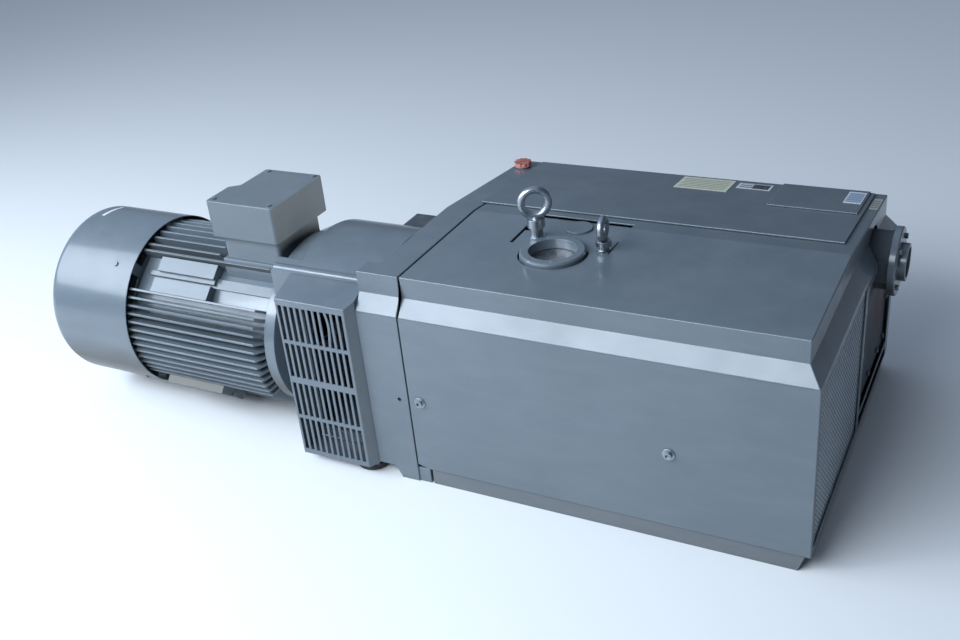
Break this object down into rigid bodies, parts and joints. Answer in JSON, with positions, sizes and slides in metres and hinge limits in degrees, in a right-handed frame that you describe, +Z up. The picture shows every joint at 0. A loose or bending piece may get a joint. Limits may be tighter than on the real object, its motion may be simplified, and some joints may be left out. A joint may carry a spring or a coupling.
{
  "type": "rotary vane vacuum pump",
  "caption": "Oil-lubricated rotary vane vacuum pump under a sheet hood, driven by a flange-mounted finned electric motor through a fan lantern.",
  "frame": {"origin": "centre of the bounding box on the floor the set stands on", "axes": "+X from motor to exhaust, +Y from the front panel to the back, +Z up"},
  "size_m": [1.629, 0.706, 0.5185],
  "materials": {
    "blue_grey_paint": "semi-gloss blue-grey enamel",
    "motor_paint": "semi-gloss blue-grey enamel on castings",
    "zinc_steel": "zinc plated",
    "machined_steel": "machined",
    "cast_iron": "machined casting",
    "aluminium_cast": "die cast",
    "cooler_black": "black coated fins",
    "mesh_steel": "painted expanded metal",
    "rubber_black": "matt",
    "copper_windings": "enamelled copper",
    "carbon_composite": "vane material",
    "red_plastic": "moulded",
    "black_plastic": "moulded",
    "glass_clear": "clear",
    "brass_fittings": "turned",
    "filter_paper": "glass fibre filter medium",
    "label_film": "printed film, left blank"
  },
  "bodies": {
    "frame": {"air_inlet_mesh": "mesh_steel", "base_frame": "blue_grey_paint", "cover_screws": "motor_paint", "end_plate": "blue_grey_paint", "exhaust_filters": "filter_paper", "exhaust_flange": "blue_grey_paint", "exhaust_side_bolts": "motor_paint", "eye_bolt_large": "zinc_steel", "eye_bolt_small": "zinc_steel", "fan_cowl": "motor_paint", "front_grille": "motor_paint", "front_hood": "blue_grey_paint", "gas_ballast_valve": "aluminium_cast", "gland_plugs": "black_plastic", "hood_screws": "zinc_steel", "intake_block": "blue_grey_paint", "intake_flange": "blue_grey_paint", "lantern_housing": "motor_paint", "lid_labels": "label_film", "lid_panel": "blue_grey_paint", "motor_end_shields": "motor_paint", "motor_frame": "motor_paint", "oil_cooler": "cooler_black", "oil_filter": "blue_grey_paint", "oil_filter_head": "cast_iron", "oil_line": "brass_fittings", "pump_cylinder": "cast_iron", "pump_end_covers": "cast_iron", "rear_lid": "blue_grey_paint", "recess_plug": "blue_grey_paint", "separator_end_cover": "blue_grey_paint", "separator_tank": "cast_iron", "separator_top": "cast_iron", "shaft_bearings": "machined_steel", "shaft_seal": "rubber_black", "sight_glass": "glass_clear", "stator": "machined_steel", "stator_windings": "copper_windings", "support_feet": "rubber_black", "tank_brackets": "cast_iron", "tank_fittings": "brass_fittings", "terminal_block": "black_plastic", "terminal_box_base": "motor_paint", "terminal_box_gasket": "rubber_black", "terminal_box_lid": "motor_paint", "valve_guide": "machined_steel", "valve_spring": "machined_steel"},
    "drive_train": {"motor_rotor": "machined_steel", "motor_fan": "aluminium_cast", "motor_hub": "aluminium_cast", "coupling_spider": "red_plastic", "pump_hub": "aluminium_cast", "cooling_fan": "aluminium_cast", "pump_rotor": "machined_steel"},
    "sliding_vane_1": {"vane_1": "carbon_composite"},
    "sliding_vane_2": {"vane_2": "carbon_composite"},
    "sliding_vane_3": {"vane_3": "carbon_composite"},
    "intake_valve": {"intake_valve_disc": "machined_steel"},
    "oil_float": {"float_valve": "black_plastic"},
    "filler_cap": {"oil_filler_cap": "red_plastic"}
  },
  "joints": [
    {"name": "shaft_spin", "type": "hinge", "parent": "frame", "child": "drive_train", "pos_m": [0.0495, -0.172, 0.205], "axis": [1, 0, 0], "continuous": true},
    {"name": "vane_1_slide", "type": "slide", "parent": "drive_train", "child": "sliding_vane_1", "axis": [0, 0, -1], "range_m": [-0.0028, 0.0012]},
    {"name": "vane_2_slide", "type": "slide", "parent": "drive_train", "child": "sliding_vane_2", "axis": [0, -0.866, 0.5], "range_m": [-0.0028, 0.0012]},
    {"name": "vane_3_slide", "type": "slide", "parent": "drive_train", "child": "sliding_vane_3", "axis": [0, 0.866, 0.5], "range_m": [-0.0028, 0.0012]},
    {"name": "intake_valve_slide", "type": "slide", "parent": "frame", "child": "intake_valve", "axis": [0, 0, -1], "range_m": [0, 0.012], "stiffness_N_per_m": 400, "springref_m": -0.01, "deforming": ["valve_spring"]},
    {"name": "float_hinge", "type": "hinge", "parent": "frame", "child": "oil_float", "pos_m": [0.6495, 0.086, 0.11], "axis": [0, 1, 0], "range_deg": [-20, 15]},
    {"name": "filler_cap_turn", "type": "hinge", "parent": "frame", "child": "filler_cap", "pos_m": [0.0095, 0.278, 0.395], "axis": [0, 0, 1], "range_deg": [0, 720]}
  ]
}
